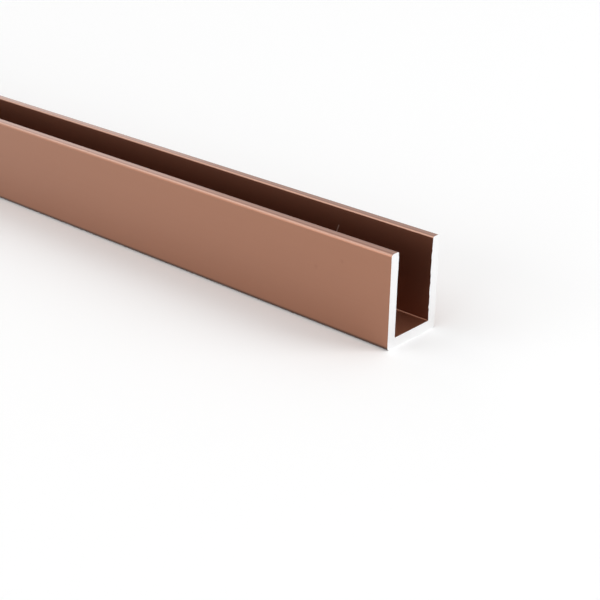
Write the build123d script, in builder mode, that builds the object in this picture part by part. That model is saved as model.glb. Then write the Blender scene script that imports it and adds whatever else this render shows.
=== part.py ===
"""U-shaped aluminium extrusion: a straight length of channel with two equal flanges on a web.

The frame's origin is at the middle of the length, on the underside of the web, midway between
the flanges. X runs along the length, Y runs across the channel and +Z points out of its open side.
All sizes are in millimetres.
"""

import os

from build123d import *

# Section sizes
CHANNEL_WIDTH = 14.3
CHANNEL_HEIGHT = 19.05
WALL = 2.03

# The die rounds every corner of the section
HEEL_RADIUS = 0.6  # outside, where the web turns up into a flange
TIP_OUTER_RADIUS = 0.6  # outer edge of a flange's tip
TIP_INNER_RADIUS = 0.3  # slot edge of a flange's tip
ROOT_RADIUS = 0.2  # inside the slot, where the web meets a flange

# Length of the stock between its two saw cuts
STOCK_LENGTH = 1000.0

# The slot between the flanges
SLOT_WIDTH = CHANNEL_WIDTH - 2 * WALL
SLOT_DEPTH = CHANNEL_HEIGHT - WALL

FROM_THE_FOOT = (Align.CENTER, Align.MIN)

with BuildPart() as u_channel:
    with BuildSketch(Plane.YZ.offset(-STOCK_LENGTH / 2)) as section:
        Rectangle(CHANNEL_WIDTH, CHANNEL_HEIGHT, align=FROM_THE_FOOT)
        with Locations((0, WALL)):
            Rectangle(SLOT_WIDTH, SLOT_DEPTH, align=FROM_THE_FOOT, mode=Mode.SUBTRACT)

        # Roots, then heels: each is a pair of corners, the roots one level above the foot
        fillet(section.vertices().group_by(Axis.Y)[1], ROOT_RADIUS)
        fillet(section.vertices().group_by(Axis.Y)[0], HEEL_RADIUS)

        # Tips: the two corners nearest the middle edge the slot, the two furthest are outside
        tips = section.vertices().group_by(Axis.Y)[-1]
        fillet(tips.sort_by_distance((0, CHANNEL_HEIGHT))[2:], TIP_OUTER_RADIUS)
        tips = section.vertices().group_by(Axis.Y)[-1]
        fillet(tips.sort_by_distance((0, CHANNEL_HEIGHT))[:2], TIP_INNER_RADIUS)
    extrude(amount=STOCK_LENGTH)

u_channel.part.label = "u_channel"

os.makedirs("parts", exist_ok=True)
export_step(u_channel.part, "parts/u_channel.step")
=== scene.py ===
"""Dresses a bar of bronze anodised U-channel and sets it in a pale studio.

The bar is one closed mesh: its section carried along X, with a sawn face at each end. Its sizes
are in millimetres, as on a drawing, and become metres when a mesh or a material is made.
"""

from __future__ import annotations

import logging
import math
from dataclasses import dataclass
from enum import Enum
from typing import Any

import bpy
import numpy as np
from mathutils import Matrix, Vector

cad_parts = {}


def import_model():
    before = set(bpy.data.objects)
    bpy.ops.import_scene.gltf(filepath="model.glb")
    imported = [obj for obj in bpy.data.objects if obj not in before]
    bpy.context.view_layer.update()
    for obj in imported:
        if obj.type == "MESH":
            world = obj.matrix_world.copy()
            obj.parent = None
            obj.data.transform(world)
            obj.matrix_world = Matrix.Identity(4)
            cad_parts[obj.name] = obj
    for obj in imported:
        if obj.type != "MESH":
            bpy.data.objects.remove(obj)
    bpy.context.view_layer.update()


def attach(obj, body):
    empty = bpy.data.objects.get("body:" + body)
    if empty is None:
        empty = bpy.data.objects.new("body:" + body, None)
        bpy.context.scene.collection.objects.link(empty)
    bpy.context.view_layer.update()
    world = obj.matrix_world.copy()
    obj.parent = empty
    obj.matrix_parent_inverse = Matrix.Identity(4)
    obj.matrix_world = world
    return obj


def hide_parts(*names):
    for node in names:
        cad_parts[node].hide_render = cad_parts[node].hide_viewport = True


LOG = logging.getLogger("u_channel")
MILLIMETRE = 0.001  # metres
PICTURE_SIDE = 600  # pixels

# A Mix node has a set of sockets for each kind of data, so its colour sockets go by number
MIX_FACTOR, MIX_FIRST, MIX_SECOND, MIX_RESULT = 0, 6, 7, 2
# The sums on vectors whose result is a number
NUMBER_RESULTS = ("DOT_PRODUCT", "DISTANCE", "LENGTH")

Colour = tuple[float, float, float]
Point = tuple[float, float, float]


class End(Enum):
    """The two ends of the bar, by the sign of X."""

    SHOWN = 1
    FAR = -1


class Surface(Enum):
    """The two surfaces of the bar, by their place in the mesh's list of materials."""

    ANODISED = 0
    SAWN = 1


@dataclass
class NodeSheet:
    """A short way to write a node tree: each call adds nodes and returns what they give."""

    tree: bpy.types.NodeTree

    def add(self, kind: str, /, **settings: Any) -> bpy.types.Node:
        """Adds one node.

        Args:
            kind: the node's type name.
            settings: its properties, by name.

        Returns:
            The new node.
        """
        node = self.tree.nodes.new(kind)
        for name, value in settings.items():
            setattr(node, name, value)
        return node

    def feed(self, socket: bpy.types.NodeSocket, source: Any) -> None:
        """Links a socket to another node's output, or sets it to a plain value.

        Args:
            socket: the input to fill.
            source: an output socket, a number, a point or a colour.
        """
        if isinstance(source, bpy.types.NodeSocket):
            self.tree.links.new(source, socket)
        elif socket.type == "RGBA":
            socket.default_value = (*source, 1.0)
        else:
            socket.default_value = source

    def math(self, operation: str, first: Any, second: Any) -> bpy.types.NodeSocket:
        """Adds one sum on two numbers.

        Args:
            operation: the sum's name.
            first: the first number.
            second: the second number.

        Returns:
            The result's output.
        """
        node = self.add("ShaderNodeMath", operation=operation)
        self.feed(node.inputs[0], first)
        self.feed(node.inputs[1], second)
        return node.outputs[0]

    def vector(self, operation: str, first: Any, second: Any = None) -> bpy.types.NodeSocket:
        """Adds one sum on one or two vectors.

        Args:
            operation: the sum's name.
            first: the first vector.
            second: the second vector, where the sum has one.

        Returns:
            The result's output.
        """
        node = self.add("ShaderNodeVectorMath", operation=operation)
        self.feed(node.inputs[0], first)
        if second is not None:
            self.feed(node.inputs[1], second)
        return node.outputs["Value" if operation in NUMBER_RESULTS else "Vector"]

    def spread(
        self,
        source: Any,
        low: float,
        high: float,
        span: tuple[float, float] = (0.0, 1.0),
        smooth: bool = False,
    ) -> bpy.types.NodeSocket:
        """Maps a span of values on to low to high, and holds what lies outside it to its ends.

        Args:
            source: the values.
            low: result at the start of the span.
            high: result at its end.
            span: where the values start and end.
            smooth: whether the result eases in and out.

        Returns:
            The result's output.
        """
        easing = "SMOOTHSTEP" if smooth else "LINEAR"
        node = self.add("ShaderNodeMapRange", interpolation_type=easing)
        self.feed(node.inputs["Value"], source)
        limits = zip(("From Min", "From Max", "To Min", "To Max"), (*span, low, high))
        for name, value in limits:
            node.inputs[name].default_value = value
        return node.outputs["Result"]

    def weigh(self, first: Any, share: float, second: Any) -> bpy.types.NodeSocket:
        """Adds two patterns: share of the first, and one less share of the second.

        Args:
            first: the first pattern.
            share: how much of it there is, 0 to 1.
            second: the second pattern.

        Returns:
            The result's output.
        """
        part = self.math("MULTIPLY", first, share)
        return self.math("ADD", part, self.math("MULTIPLY", second, 1.0 - share))

    def mix(self, factor: Any, first: Any, second: Any) -> bpy.types.NodeSocket:
        """Mixes two colours.

        Args:
            factor: how much of the second there is, 0 to 1.
            first: the first colour.
            second: the second colour.

        Returns:
            The mixed colour's output.
        """
        node = self.add("ShaderNodeMix", data_type="RGBA")
        self.feed(node.inputs[MIX_FACTOR], factor)
        self.feed(node.inputs[MIX_FIRST], first)
        self.feed(node.inputs[MIX_SECOND], second)
        return node.outputs[MIX_RESULT]

    def place(self) -> bpy.types.NodeSocket:
        """Gives the point's place on the piece itself, in metres."""
        return self.add("ShaderNodeTexCoord").outputs["Object"]

    def noise(self, repeats: Point, detail: float, rough: float = 0.5) -> bpy.types.NodeSocket:
        """A cloudy pattern on the bar's own coordinates.

        Args:
            repeats: how many times the pattern repeats in a metre along X, Y and Z.
            detail: how many finer layers it has.
            rough: how strong the finer layers are.

        Returns:
            The pattern, about 0 to 1.
        """
        mapping = self.add("ShaderNodeMapping")
        self.feed(mapping.inputs["Vector"], self.place())
        mapping.inputs["Scale"].default_value = repeats
        node = self.add("ShaderNodeTexNoise")
        self.feed(node.inputs["Vector"], mapping.outputs["Vector"])
        node.inputs["Scale"].default_value = 1.0
        node.inputs["Detail"].default_value = detail
        node.inputs["Roughness"].default_value = rough
        return node.outputs["Fac"]

    def bump(self, pattern: Any, height: float) -> bpy.types.NodeSocket:
        """Tilts the surface as a low relief would.

        Args:
            pattern: the relief, 0 to 1.
            height: its height at 1, in millimetres.

        Returns:
            The tilted normal's output.
        """
        node = self.add("ShaderNodeBump")
        node.inputs["Strength"].default_value = 1.0
        node.inputs["Distance"].default_value = height * MILLIMETRE
        self.feed(node.inputs["Height"], pattern)
        return node.outputs["Normal"]


def empty_sheet(owner: bpy.types.Material | bpy.types.World) -> NodeSheet:
    """Turns the nodes of a material or a world on, and clears them.

    Args:
        owner: the material or the world.

    Returns:
        A sheet to add nodes to.
    """
    owner.use_nodes = True
    owner.node_tree.nodes.clear()
    return NodeSheet(owner.node_tree)


def new_material(name: str) -> tuple[bpy.types.Material, NodeSheet, bpy.types.Node]:
    """Makes a material with one main shader.

    Args:
        name: the material's name.

    Returns:
        The material, a sheet to add nodes to, and its main shader.
    """
    material = bpy.data.materials.new(name)
    sheet = empty_sheet(material)
    shader = sheet.add("ShaderNodeBsdfPrincipled")
    output = sheet.add("ShaderNodeOutputMaterial")
    sheet.feed(output.inputs["Surface"], shader.outputs["BSDF"])
    return material, sheet, shader


def in_scene(name: str, data: bpy.types.ID) -> bpy.types.Object:
    """Makes an object and links it to the scene.

    Args:
        name: the object's name.
        data: its mesh, lamp or camera.

    Returns:
        The object.
    """
    thing = bpy.data.objects.new(name, data)
    bpy.context.scene.collection.objects.link(thing)
    return thing


def aimed(right: Vector, up: Vector, back: Vector, place: Vector) -> Matrix:
    """The place and turn of a lamp or a camera, from where its own X, Y and Z run."""
    return Matrix.Translation(place) @ Matrix((right, up, back)).transposed().to_4x4()


@dataclass(frozen=True)
class Mark:
    """One small mark on the bar's surface: a soft-edged stroke between two points."""

    start: Point  # millimetres, as are the end and the radius
    end: Point
    radius: float
    tone: Colour
    share: float  # how much of the tone its middle has

    def strength(self, sheet: NodeSheet) -> bpy.types.NodeSocket:
        """How strongly the mark shows at a point of the surface.

        With P the point, A and B the stroke's ends and t = (P - A).(B - A) / |B - A|^2 held to
        0 to 1, the distance is |P - A - t (B - A)|. The strength falls smoothly from the share at
        no distance to nothing at the radius. A spot has its two ends in one place.

        Args:
            sheet: the material's node sheet.

        Returns:
            The strength's output.
        """
        start, end = (np.asarray(corner) * MILLIMETRE for corner in (self.start, self.end))
        run = end - start
        run_per_square = run / (float(run @ run) or 1.0)
        from_start = sheet.vector("SUBTRACT", sheet.place(), tuple(start))
        along = sheet.vector("DOT_PRODUCT", from_start, tuple(run_per_square))
        nearest = sheet.vector("MULTIPLY", sheet.spread(along, 0.0, 1.0), tuple(run))
        away = sheet.vector("DISTANCE", from_start, nearest)
        return sheet.spread(away, self.share, 0.0, (0.0, self.radius * MILLIMETRE), smooth=True)


@dataclass(frozen=True)
class BronzeAnodising:
    """Satin bronze anodising: a dyed, slightly milky oxide film over etched aluminium."""

    tone: Colour = (0.358, 0.168, 0.103)
    deep_tone: Colour = (0.334, 0.155, 0.094)
    # Painted shade: the flanges' sides in the slot are darker, as shade in the slot would make
    # them.
    slot_shade_tone: Colour = (0.290, 0.122, 0.075)
    # Painted shade: dark stripes at both edges of each tip's flat.
    tip_shade_tone: Colour = (0.235, 0.098, 0.060)
    # Painted highlight: a lighter band on the tips' rounded edges, where the lamps' highlight
    # falls.
    arris_highlight_tone: Colour = (0.480, 0.310, 0.250)
    # Painted shade: a dark band along the heels, standing in for the bar's contact shadow.
    heel_shade_tone: Colour = (0.110, 0.050, 0.030)
    # how much of the painted highlight's tone the middle of that band has
    arris_highlight_share: float = 0.6
    metal_share: float = 0.97  # the rest is the milk of the film
    roughness: float = 0.42
    roughness_swing: float = 0.04
    film_weight: float = 0.40
    film_roughness: float = 0.14
    film_index: float = 1.6
    streak_repeats: Point = (6.0, 1500.0, 1500.0)  # in a metre, as are the next two
    cloud_repeats: Point = (22.0, 90.0, 90.0)
    grain_repeats: Point = (2600.0, 3600.0, 3600.0)
    streaks_in_tone: float = 0.45  # the rest is clouds
    grain_in_roughness: float = 0.6  # the rest is streaks
    grain_height: float = 0.0015  # millimetres
    marks: tuple[Mark, ...] = (
        Mark((477.35, 5.12, 15.2), (476.4, 5.12, 12.5), 0.22, (0.75, 0.60, 0.52), 0.9),
        Mark((482.3, -7.15, 11.7), (482.3, -7.15, 11.7), 0.7, (0.20, 0.09, 0.06), 0.2),
        Mark((488.6, -7.15, 14.5), (488.6, -7.15, 14.5), 0.6, (0.20, 0.09, 0.06), 0.2),
    )

    def build(self) -> bpy.types.Material:
        """Makes the material.

        Returns:
            A metal whose colour and roughness drift in long streaks from the die, in slow clouds
            from the dye bath and in a fine etched grain, under a clear film. It has a scratch in
            the slot and two faint spots on the near flange. Its colour also carries painted shade
            on the slot sides, in stripes on the tips' flats and along the heels, and a painted
            highlight on the tips' rounded edges.
        """
        material, sheet, shader = new_material("satin_bronze_film")
        streaks = sheet.noise(self.streak_repeats, detail=3.0)
        clouds = sheet.noise(self.cloud_repeats, detail=2.0)
        grain = sheet.noise(self.grain_repeats, detail=2.0, rough=0.6)

        drift = sheet.weigh(streaks, self.streaks_in_tone, clouds)
        colour = sheet.mix(drift, self.deep_tone, self.tone)
        # Painted light in the colour: shade on the slot sides, on stripes of the tips' flats and
        # along the heels, and a highlight on the tips' rounded edges.
        for zone, tone, most in (
            # painted shade on the sides of the slot
            ("slot_painted_shade", self.slot_shade_tone, 1.0),
            # painted shade in stripes on the tips' flats
            ("tip_painted_shade", self.tip_shade_tone, 1.0),
            # painted highlight on the tips' rounded edges
            ("arris_painted_highlight", self.arris_highlight_tone, self.arris_highlight_share),
            # painted shade along the heels
            ("heel", self.heel_shade_tone, 1.0),
        ):
            share = sheet.add("ShaderNodeAttribute", attribute_name=zone).outputs["Fac"]
            colour = sheet.mix(sheet.math("MULTIPLY", share, most), colour, tone)
        for mark in self.marks:
            colour = sheet.mix(mark.strength(sheet), colour, mark.tone)
        sheet.feed(shader.inputs["Base Color"], colour)

        swing = self.roughness_swing
        blend = sheet.weigh(grain, self.grain_in_roughness, streaks)
        rough = sheet.spread(blend, self.roughness - swing, self.roughness + swing)
        sheet.feed(shader.inputs["Roughness"], rough)
        sheet.feed(shader.inputs["Normal"], sheet.bump(grain, self.grain_height))
        shader.inputs["Metallic"].default_value = self.metal_share
        shader.inputs["Coat Weight"].default_value = self.film_weight
        shader.inputs["Coat Roughness"].default_value = self.film_roughness
        shader.inputs["Coat IOR"].default_value = self.film_index
        return material


@dataclass(frozen=True)
class SawnAluminium:
    """Bare aluminium as a fine saw leaves it: bright, with a faint grain across the cut."""

    tone: Colour = (0.96, 0.96, 0.96)
    shade: Colour = (0.92, 0.92, 0.925)
    roughness: float = 0.34
    roughness_swing: float = 0.06
    grain_repeats: Point = (900.0, 500.0, 4200.0)  # in a metre, as are the specks'
    speck_repeats: Point = (1500.0, 1500.0, 1500.0)
    grain_height: float = 0.002  # millimetres

    def build(self) -> bpy.types.Material:
        """Makes the material.

        Returns:
            A bare metal with a fine cross grain.
        """
        material, sheet, shader = new_material("sawn_aluminium")
        grain = sheet.noise(self.grain_repeats, detail=2.0)
        specks = sheet.noise(self.speck_repeats, detail=3.0)
        sheet.feed(shader.inputs["Base Color"], sheet.mix(specks, self.shade, self.tone))
        swing = self.roughness_swing
        rough = sheet.spread(grain, self.roughness - swing, self.roughness + swing)
        sheet.feed(shader.inputs["Roughness"], rough)
        sheet.feed(shader.inputs["Normal"], sheet.bump(grain, self.grain_height))
        shader.inputs["Metallic"].default_value = 1.0
        return material


def straight(start: tuple[float, float], end: tuple[float, float], count: int) -> np.ndarray:
    """Points on a straight run, without its last.

    Point k is start + (k / count) (end - start).

    Args:
        start: first corner, as (y, z).
        end: last corner.
        count: number of equal steps.

    Returns:
        Array of count rows of (y, z).
    """
    share = np.arange(count)[:, None] / count
    return (1.0 - share) * np.asarray(start) + share * np.asarray(end)


def arc(
    centre: tuple[float, float], radius: float, turn: tuple[float, float], count: int
) -> np.ndarray:
    """Points on a circular arc, without its last.

    Point k stands at centre + radius (cos a, sin a), with a going evenly through the turn.

    Args:
        centre: the arc's centre, as (y, z).
        radius: its radius.
        turn: first and last angle in degrees, from +Y towards +Z.
        count: number of equal steps.

    Returns:
        Array of count rows of (y, z).
    """
    angle = np.radians(turn[0] + (turn[1] - turn[0]) * np.arange(count) / count)
    return np.asarray(centre) + radius * np.column_stack([np.cos(angle), np.sin(angle)])


def rise(place: np.ndarray, start: float, length: float) -> np.ndarray:
    """A straight rise from 0 to 1: (place - start) / length, held to that range.

    Args:
        place: where to work it out, in millimetres.
        start: where it leaves 0.
        length: how far on it reaches 1.

    Returns:
        Array of the same shape as place.
    """
    return np.clip((place - start) / length, 0.0, 1.0)


@dataclass(frozen=True)
class SectionSizes:
    """Sizes of the channel in millimetres, the same as the solid's."""

    width: float = 14.3
    height: float = 19.05
    wall: float = 2.03
    heel_radius: float = 0.6
    tip_outer_radius: float = 0.6
    tip_inner_radius: float = 0.3
    root_radius: float = 0.2
    length: float = 1000.0


@dataclass(frozen=True)
class SectionOutline:
    """The section's edge as one ring of points.

    The ring goes down the near flange, under the web, up the far flange, over its tip, and back
    through the slot. The outer side and the slot side have the same number of steps, and so have
    the two tips, so a grid fits the section between them.
    """

    sizes: SectionSizes = SectionSizes()
    flange_steps: int = 120
    web_steps: int = 88
    corner_steps: int = 12
    tip_steps: tuple[int, int, int] = (12, 12, 8)  # outer arc, flat and slot arc

    @property
    def along(self) -> int:
        """Steps along the outer side, and along the slot side."""
        return 2 * self.flange_steps + 2 * self.corner_steps + self.web_steps

    @property
    def across(self) -> int:
        """Steps over a tip."""
        return sum(self.tip_steps)

    def ring(self) -> np.ndarray:
        """The whole ring.

        Straight runs and arcs are set end to end, each without its last point, which is the
        first of the next one.

        Returns:
            Array of (y, z), one row a point, in millimetres.
        """
        s = self.sizes
        out, top = s.width / 2.0, s.height
        slot, heel, root = out - s.wall, s.heel_radius, s.root_radius
        cap, lip = s.tip_outer_radius, s.tip_inner_radius
        outer_arc, tip_flat, lip_arc = self.tip_steps
        foot = s.wall + root
        return np.vstack(
            [
                straight((-out, top - cap), (-out, heel), self.flange_steps),
                arc((heel - out, heel), heel, (180.0, 270.0), self.corner_steps),
                straight((heel - out, 0.0), (out - heel, 0.0), self.web_steps),
                arc((out - heel, heel), heel, (270.0, 360.0), self.corner_steps),
                straight((out, heel), (out, top - cap), self.flange_steps),
                arc((out - cap, top - cap), cap, (0.0, 90.0), outer_arc),
                straight((out - cap, top), (slot + lip, top), tip_flat),
                arc((slot + lip, top - lip), lip, (90.0, 180.0), lip_arc),
                straight((slot, top - lip), (slot, foot), self.flange_steps),
                arc((slot - root, foot), root, (0.0, -90.0), self.corner_steps),
                straight((slot - root, s.wall), (root - slot, s.wall), self.web_steps),
                arc((root - slot, foot), root, (270.0, 180.0), self.corner_steps),
                straight((-slot, foot), (-slot, top - lip), self.flange_steps),
                arc((-slot - lip, top - lip), lip, (0.0, 90.0), lip_arc),
                straight((-slot - lip, top), (cap - out, top), tip_flat),
                arc((cap - out, top - cap), cap, (90.0, 180.0), outer_arc),
            ]
        )

    @staticmethod
    def outward(ring: np.ndarray) -> np.ndarray:
        """Unit normals of a ring: the run from the point before to the point after, turned right.

        Args:
            ring: the points, as (y, z).

        Returns:
            One (y, z) a point.
        """
        run = np.roll(ring, -1, axis=0) - np.roll(ring, 1, axis=0)
        normal = np.column_stack([run[:, 1], -run[:, 0]])
        return normal / np.linalg.norm(normal, axis=1, keepdims=True)

    @staticmethod
    def reach(ring: np.ndarray) -> np.ndarray:
        """Distance of each point along the ring from its first point."""
        step = np.linalg.norm(np.diff(ring, axis=0, append=ring[:1]), axis=1)
        return np.concatenate([[0.0], np.cumsum(step)[:-1]])


@dataclass(frozen=True)
class Ripple:
    """Fine marks side by side in the metal: three waves that only cut in, in millimetres."""

    lengths: Point
    heights: Point
    phases: Point  # radians

    def depth(self, place: np.ndarray) -> np.ndarray:
        """Depth of the marks below the plain surface.

        It is the sum over the waves of height times (1 - cos(2 pi place / length + phase)).

        Args:
            place: distance across the marks.

        Returns:
            Array of the same shape as place, none below zero.
        """
        angle = 2.0 * math.pi * place[..., None] / np.asarray(self.lengths)
        wave = np.cos(angle + np.asarray(self.phases)) * np.asarray(self.heights)
        return sum(self.heights) - wave.sum(axis=-1)


@dataclass(frozen=True)
class Burr:
    """The burr that the saw leaves on the slot side of the flanges, in millimetres.

    It runs down the whole far flange, and down the top quarter of the near one. Each start is
    measured down from the foot of that tip's slot arc.
    """

    height: float = 0.24
    gaps: tuple[float, float] = (0.62, 0.19)  # between the points of the two chains
    shares: tuple[float, float] = (0.75, 0.25)  # of the height, for each chain
    power: float = 1.3  # above one, so that fewer points are tall
    far_start: float = 0.5
    far_ramps: tuple[float, float] = (0.5, 1.0)  # at its top and at its foot
    near_start: float = 0.2
    near_end: float = 5.0
    near_ramps: tuple[float, float] = (0.4, 2.0)
    near_share: float = 0.7  # of the far flange's burr
    seed: int = 11

    def stand(self, outline: SectionOutline, reach: np.ndarray) -> np.ndarray:
        """How far the burr stands out of the wall at the cut.

        It is a jagged chain of points of random height joined by straight runs, over a second
        and finer chain, times a rise at the top and a fall at the foot of each flange.

        Args:
            outline: the section.
            reach: distance along the ring of each point.

        Returns:
            One height a point.
        """
        draw = np.random.default_rng(self.seed)
        ragged = np.zeros_like(reach)
        for gap, share in zip(self.gaps, self.shares):
            knots = np.arange(0.0, reach[-1] + gap, gap)
            ragged += share * np.interp(reach, knots, draw.random(knots.size) ** self.power)
        far_top = reach[outline.along + outline.across]
        far_foot = reach[outline.along + outline.across + outline.flange_steps]
        near_top = reach[2 * outline.along + outline.across]
        far_side = rise(reach, far_top + self.far_start, self.far_ramps[0])
        far_side = far_side * rise(-reach, -far_foot, self.far_ramps[1])
        near_side = rise(reach, near_top - self.near_end, self.near_ramps[1])
        near_side = near_side * rise(-reach, self.near_start - near_top, self.near_ramps[0])
        return self.height * ragged * (far_side + self.near_share * near_side)


@dataclass
class ChannelBar:
    """The bar itself: drawn skin, sawn ends and the small burr that the saw leaves."""

    outline: SectionOutline = SectionOutline()
    end_stations: tuple[float, ...] = (0.0, 0.06, 0.14, 0.3, 0.6, 1.2, 2.5, 5.0, 9.0)
    station_step: float = 18.0
    die_lines: Ripple = Ripple((0.74, 1.63, 4.9), (0.00006, 0.00018, 0.0006), (0.0, 1.7, 4.0))
    saw_marks: Ripple = Ripple((0.41, 0.93, 2.7), (0.0007, 0.0022, 0.0030), (0.3, 1.1, 2.0))
    blade_centre: tuple[float, float] = (-68.0, 102.0)
    burr: Burr = Burr()
    burr_beside: float = 0.35  # of the burr, one station in from the cut
    tip_fade: float = 1.1
    # Where the painted highlight starts in each tip's arc, in steps into the arc, and how many
    # steps it spans.
    highlight_starts: tuple[int, int, int, int] = (5, 3, 2, 4)  # steps into the tips' arcs
    highlight_steps: int = 3

    def stations(self) -> np.ndarray:
        """Places along X where the section is set: close at the cuts and even between them.

        Returns:
            Their places, from the shown end to the far one.
        """
        half = self.outline.sizes.length / 2.0
        near = np.asarray(self.end_stations)
        inner = half - near[-1]
        count = int(round(2.0 * inner / self.station_step))
        middle = np.linspace(inner, -inner, count + 1)[1:-1]
        return np.concatenate([half - near, middle, near[::-1] - half])

    def cut_depth(self, y: np.ndarray, z: np.ndarray) -> np.ndarray:
        """Depth of the saw's marks below the cut plane.

        The marks follow the distance from the blade's centre, so they are shallow arcs.

        Args:
            y: places across the bar.
            z: places up the bar.

        Returns:
            Depths, none below zero.
        """
        return self.saw_marks.depth(np.hypot(y - self.blade_centre[0], z - self.blade_centre[1]))

    def skin(self) -> np.ndarray:
        """The drawn surface as a grid: one row a station, one column a point of the ring.

        Each point stands at (x, y, z) = (station, ring point less its normal times the depth of
        the die's lines there). The first and last rows carry the burr and the saw's marks, and
        the rows beside them a share of the burr.

        Returns:
            Array of stations by ring points by 3, in millimetres.
        """
        ring = self.outline.ring()
        normal = self.outline.outward(ring)
        reach = self.outline.reach(ring)
        stations = self.stations()
        grid = np.empty((stations.size, ring.shape[0], 3))
        grid[..., 0] = stations[:, None]
        grid[..., 1:] = ring - self.die_lines.depth(reach)[:, None] * normal
        burr = self.burr.stand(self.outline, reach)[:, None] * normal
        for row, share in ((0, 1.0), (1, self.burr_beside), (-1, 1.0), (-2, self.burr_beside)):
            grid[row, :, 1:] += share * burr
        for row, end in ((0, End.SHOWN), (-1, End.FAR)):
            grid[row, :, 0] -= end.value * self.cut_depth(grid[row, :, 1], grid[row, :, 2])
        return grid

    def cut(self, rim: np.ndarray, end: End) -> tuple[np.ndarray, np.ndarray]:
        """The sawn face inside a rim, as a grid from the near tip round to the far tip.

        A point of the grid lies on the straight line between the outer side and the slot side,
        (1 - v) outer + v slot, plus each tip's bulge above its own chord, which fades as
        exp(-distance / fade) away from the tip. X is the cut plane less the saw's marks.

        Args:
            rim: the skin's row at this end.
            end: which end it is.

        Returns:
            The grid's inner points, and the grid's table of point numbers, in which the rim keeps
            its own numbers and the inner points follow it.
        """
        m, n, count = self.outline.along, self.outline.across, rim.shape[0]
        outer = np.arange(m + 1)
        slot = 2 * m + n - outer
        near_tip = (count - np.arange(n + 1)) % count
        far_tip = m + np.arange(n + 1)

        v = np.linalg.norm(np.diff(rim[near_tip, 1:], axis=0), axis=1)
        v = np.concatenate([[0.0], np.cumsum(v)])
        v = (v / v[-1])[None, :, None]
        sheet = (1.0 - v) * rim[outer][:, None, :] + v * rim[slot][:, None, :]
        run = np.linalg.norm(np.diff(rim[outer, 1:], axis=0), axis=1)
        run = np.concatenate([[0.0], np.cumsum(run)])
        for tip, away in ((near_tip, run), (far_tip, run[-1] - run)):
            edge = rim[tip][None, :, :]
            bulge = edge - (1.0 - v) * edge[:, :1] - v * edge[:, -1:]
            sheet = sheet + np.exp(-away / self.tip_fade)[:, None, None] * bulge
        half = self.outline.sizes.length / 2.0
        sheet[..., 0] = end.value * (half - self.cut_depth(sheet[..., 1], sheet[..., 2]))

        table = np.zeros((m + 1, n + 1), dtype=np.int64)
        table[:, 0], table[:, -1] = outer, slot
        table[0, :], table[-1, :] = near_tip, far_tip
        inner = sheet[1:-1, 1:-1].reshape(-1, 3)
        table[1:-1, 1:-1] = count + np.arange(inner.shape[0]).reshape(m - 1, n - 1)
        return inner, table

    def zone_runs(self) -> dict[str, tuple[tuple[int, int], ...]]:
        """Where each zone lies whose colour differs from the flanges'.

        Returns:
            For each zone, its first ring points and how many steps follow each: the sides of the
            slot, where shade is painted, the two stripes of painted shade on each tip's flat, the
            painted highlights on the tips' arcs in ring order, and the heels, where shade is
            painted.
        """
        line = self.outline
        outer_arc, tip_flat, lip_arc = line.tip_steps
        corner, flange = line.corner_steps, line.flange_steps
        far_tip, near_tip = line.along, 2 * line.along + line.across
        far_flat, near_flat = far_tip + outer_arc, near_tip + lip_arc
        far_lip, near_outer = far_flat + tip_flat, near_flat + tip_flat
        third = tip_flat // 3
        arcs = (far_tip, far_lip, near_tip, near_outer)
        arris_highlights = tuple((arc + step, self.highlight_steps) for arc, step in zip(arcs, self.highlight_starts))
        return {
            # painted shade on the sides of the slot
            "slot_painted_shade": ((far_lip + lip_arc, flange), (near_tip - flange, flange)),
            # painted shade in stripes on the tips' flats
            "tip_painted_shade": (
                (far_flat - 2, third + 1),
                (far_lip - third, third),
                (near_flat, third),
                (near_outer - third + 1, third + 1),
            ),
            # painted highlight on the tips' rounded edges
            "arris_painted_highlight": arris_highlights,
            # painted shade along the heels
            "heel": ((flange, corner), (line.along - flange - corner, corner)),
        }

    def zone_shares(self) -> dict[str, np.ndarray]:
        """How far each ring point belongs to each zone.

        A point in the zone has 1 and any other 0, and the step between them is softened: each
        share is the mean of the point's own and its two neighbours'.

        Returns:
            One share a ring point, by attribute name.
        """
        count = 2 * (self.outline.along + self.outline.across)
        shares = {}
        for name, runs in self.zone_runs().items():
            mask = np.zeros(count)
            for start, steps in runs:
                mask[np.arange(start, start + steps + 1) % count] = 1.0
            shares[name] = (np.roll(mask, -1) + mask + np.roll(mask, 1)) / 3.0
        return shares

    def build(self) -> bpy.types.Object:
        """Makes the bar's mesh from the skin and its two cuts.

        Returns:
            The finished object, at the origin.
        """
        skin = self.skin()
        rows, columns = skin.shape[:2]
        column = np.arange(columns)
        beside = np.roll(column, -1)
        row = np.arange(rows - 1)[:, None] * columns
        ahead = row + columns
        corners = [row + column, ahead + column, ahead + beside, row + beside]
        quads = [np.stack(corners, axis=-1).reshape(-1, 4)]
        points = [skin.reshape(-1, 3)]
        total = rows * columns
        for end, rim in ((End.SHOWN, 0), (End.FAR, rows - 1)):
            inner, table = self.cut(skin[rim], end)
            number = np.concatenate([rim * columns + column, total + np.arange(inner.shape[0])])
            table = number[table]
            corners = [table[:-1, :-1], table[:-1, 1:], table[1:, 1:], table[1:, :-1]]
            quads.append(np.stack(corners[:: -end.value], axis=-1).reshape(-1, 4))
            points.append(inner)
            total += inner.shape[0]

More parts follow.
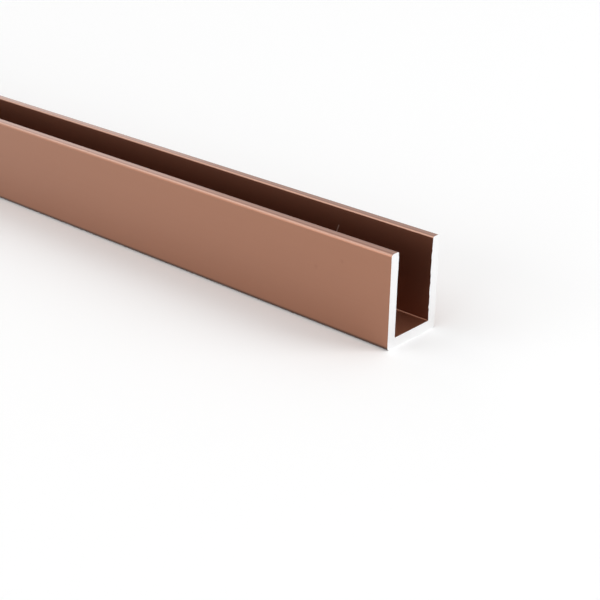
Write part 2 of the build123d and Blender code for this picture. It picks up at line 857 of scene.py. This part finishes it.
        mesh = bpy.data.meshes.new("channel_bar")
        mesh.from_pydata(np.vstack(points) * MILLIMETRE, [], np.vstack(quads))
        surface = np.full(len(mesh.polygons), Surface.SAWN.value, dtype=np.int32)
        surface[: len(quads[0])] = Surface.ANODISED.value
        mesh.polygons.foreach_set("material_index", surface)
        mesh.polygons.foreach_set("use_smooth", np.ones(len(mesh.polygons), dtype=bool))
        self.sharpen_cuts(mesh, rows, columns)
        for name, ring_share in self.zone_shares().items():
            share = np.zeros(total, dtype=np.float32)
            share[: rows * columns] = np.tile(ring_share, rows)
            mesh.attributes.new(name, "FLOAT", "POINT").data.foreach_set("value", share)
        mesh.update()
        return in_scene("channel_bar", mesh)

    @staticmethod
    def sharpen_cuts(mesh: bpy.types.Mesh, rows: int, columns: int) -> None:
        """Marks the edges between the skin and a cut as sharp.

        Args:
            mesh: the bar's mesh.
            rows: its stations.
            columns: its ring points.
        """
        ends = np.empty(2 * len(mesh.edges), dtype=np.int32)
        mesh.edges.foreach_get("vertices", ends)
        ends = ends.reshape(-1, 2)
        shown = (ends < columns).all(axis=1)
        last = (rows - 1) * columns
        far = ((ends >= last) & (ends < last + columns)).all(axis=1)
        sharp = mesh.attributes.new("sharp_edge", "BOOLEAN", "EDGE")
        sharp.data.foreach_set("value", shown | far)

    def dress(self, bar: bpy.types.Object) -> None:
        """Gives the bar its two finishes, in the order of Surface.

        Args:
            bar: the bar, which has no materials yet.
        """
        finishes = {Surface.ANODISED: BronzeAnodising(), Surface.SAWN: SawnAluminium()}
        for surface in Surface:
            bar.data.materials.append(finishes[surface].build())

    def place(self) -> bpy.types.Object:
        """Builds and dresses the bar, and ties it to the frame.

        Returns:
            The finished bar.
        """
        bar = self.build()
        self.dress(bar)
        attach(bar, "root")
        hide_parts("u_channel")
        return bar


@dataclass(frozen=True)
class Softbox:
    """One soft lamp: a flat rectangle in a given direction from the shown end, facing it."""

    name: str
    azimuth: float  # degrees from +X towards +Y
    elevation: float  # degrees above the floor
    spread: tuple[float, float]  # degrees it covers, across and up
    brightness: float  # 1 is the white of the surroundings
    distance: float = 1.6  # metres
    target: Point = (0.45, 0.0, 0.01)  # metres

    def build(self) -> bpy.types.Object:
        """Makes the lamp.

        Its sides are 2 distance tan(spread / 2), and its power is pi times its area times its
        brightness, which is what a flat lamp of that brightness gives off.

        Returns:
            The lamp.
        """
        width, height = (
            2.0 * self.distance * math.tan(math.radians(angle) / 2.0) for angle in self.spread
        )
        data = bpy.data.lights.new(self.name, "AREA")
        data.shape = "RECTANGLE"
        data.size, data.size_y = width, height
        data.energy = math.pi * width * height * self.brightness
        azimuth, elevation = math.radians(self.azimuth), math.radians(self.elevation)
        level = Vector((math.cos(azimuth), math.sin(azimuth), 0.0))
        back = level * math.cos(elevation) + Vector((0.0, 0.0, math.sin(elevation)))
        side = Vector((-level.y, level.x, 0.0))
        lamp = in_scene(self.name, data)
        place = Vector(self.target) + self.distance * back
        lamp.matrix_world = aimed(side, back.cross(side), back, place)
        return lamp


@dataclass
class Studio:
    """Pale floor, white surroundings and soft lamps."""

    floor_side: float = 12.0  # metres
    floor_tone: Colour = (0.93, 0.93, 0.93)
    floor_lift: tuple[float, float] = (0.0, 0.5)  # beside the bar and far off
    lift_span: tuple[float, float] = (0.6, 1.5)  # metres from the middle of the bar
    surround_light: float = 0.66  # on matt surfaces, where 1 is what is seen
    lamps: tuple[Softbox, ...] = (
        Softbox("key_behind_right", 34.0, 33.0, (28.0, 42.0), 3.0),
        Softbox("high_behind", 66.0, 56.0, (44.0, 34.0), 0.5),
        Softbox("high_left", 198.0, 44.0, (62.0, 20.0), 1.3),
        Softbox("low_left", 150.0, 20.0, (26.0, 18.0), 0.7),
        Softbox("low_front_left", 243.0, 15.0, (26.0, 28.0), 2.15),
        Softbox("low_front", 272.0, 15.0, (32.0, 28.0), 1.95),
    )

    @staticmethod
    def seen_plainly(sheet: NodeSheet) -> bpy.types.NodeSocket:
        """Tells the rays that show the surroundings, in the picture or in metal, from light.

        Args:
            sheet: the node sheet of the floor or the world.

        Returns:
            The output, 1 for such a ray and 0 for light on a matt surface.
        """
        rays = sheet.add("ShaderNodeLightPath").outputs
        both = sheet.math("MAXIMUM", rays["Is Camera Ray"], rays["Is Glossy Ray"])
        return sheet.math("MAXIMUM", both, rays["Is Transmission Ray"])

    def floor(self) -> bpy.types.Object:
        """Makes the floor.

        Returns:
            A matt, pale square that keeps the bar's shadow, and is lifted to white far off.
        """
        half = self.floor_side / 2.0
        corners = [(-half, -half, 0.0), (half, -half, 0.0), (half, half, 0.0), (-half, half, 0.0)]
        mesh = bpy.data.meshes.new("floor")
        mesh.from_pydata(corners, [], [(0, 1, 2, 3)])
        floor = in_scene("floor", mesh)
        material = bpy.data.materials.new("pale_floor")
        sheet = empty_sheet(material)
        matt = sheet.add("ShaderNodeBsdfDiffuse")
        sheet.feed(matt.inputs["Color"], self.floor_tone)
        away = sheet.vector("LENGTH", sheet.place())
        lift = sheet.spread(away, *self.floor_lift, self.lift_span, smooth=True)
        glow = sheet.add("ShaderNodeEmission")
        strength = sheet.math("MULTIPLY", self.seen_plainly(sheet), lift)
        sheet.feed(glow.inputs["Strength"], strength)
        both = sheet.add("ShaderNodeAddShader")
        sheet.feed(both.inputs[0], matt.outputs[0])
        sheet.feed(both.inputs[1], glow.outputs[0])
        output = sheet.add("ShaderNodeOutputMaterial")
        sheet.feed(output.inputs["Surface"], both.outputs[0])
        mesh.materials.append(material)
        return floor

    def surroundings(self) -> bpy.types.World:
        """Makes the world.

        Returns:
            A world that is white where it is seen, and a softer light on matt surfaces.
        """
        world = bpy.data.worlds.new("white_surroundings")
        sheet = empty_sheet(world)
        back = sheet.add("ShaderNodeBackground")
        sheet.feed(back.inputs["Color"], (1.0, 1.0, 1.0))
        strength = sheet.spread(self.seen_plainly(sheet), self.surround_light, 1.0)
        sheet.feed(back.inputs["Strength"], strength)
        output = sheet.add("ShaderNodeOutputWorld")
        sheet.feed(output.inputs["Surface"], back.outputs[0])
        bpy.context.scene.world = world
        return world

    def build(self) -> None:
        """Sets up the floor, the surroundings and the lamps."""
        self.floor()
        self.surroundings()
        for lamp in self.lamps:
            lamp.build()


@dataclass(frozen=True)
class PhotoCamera:
    """The camera that took the photograph, found from the bar's edges in it."""

    place: Point = (631.643, -180.495, 107.796)  # millimetres
    azimuth: float = 41.4646  # degrees, as are the next two
    elevation: float = 24.2599
    roll: float = 1.0821
    focal_pixels: float = 1323.724
    sensor: float = 36.0  # millimetres
    clip: tuple[float, float] = (0.005, 50.0)  # metres

    def build(self) -> bpy.types.Object:
        """Makes the camera and has the scene use it.

        Its back points along (sin a cos e, -cos a cos e, sin e), and its right and up lie square
        to that, turned by the roll.

        Returns:
            The camera.
        """
        a, e, r = (math.radians(v) for v in (self.azimuth, self.elevation, self.roll))
        back = Vector((math.sin(a) * math.cos(e), -math.cos(a) * math.cos(e), math.sin(e)))
        level = (-back).cross(Vector((0.0, 0.0, 1.0))).normalized()
        across = level.cross(-back)
        right = math.cos(r) * level + math.sin(r) * across
        up = -math.sin(r) * level + math.cos(r) * across
        data = bpy.data.cameras.new("photo_camera")
        data.sensor_width = self.sensor
        data.lens = self.sensor * self.focal_pixels / PICTURE_SIDE
        data.clip_start, data.clip_end = self.clip
        camera = in_scene("photo_camera", data)
        camera.matrix_world = aimed(right, up, back, Vector(self.place) * MILLIMETRE)
        bpy.context.scene.camera = camera
        return camera


def main() -> None:
    """Loads the frame, builds the camera, the studio and the bar."""
    logging.basicConfig(level=logging.INFO, format="%(name)s: %(message)s")
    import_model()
    bpy.context.scene.view_settings.view_transform = "Standard"

    PhotoCamera().build()
    Studio().build()
    bar = ChannelBar().place()
    LOG.info("%s: %d points, %d faces", bar.name, len(bar.data.vertices), len(bar.data.polygons))


if __name__ == "__main__":
    main()
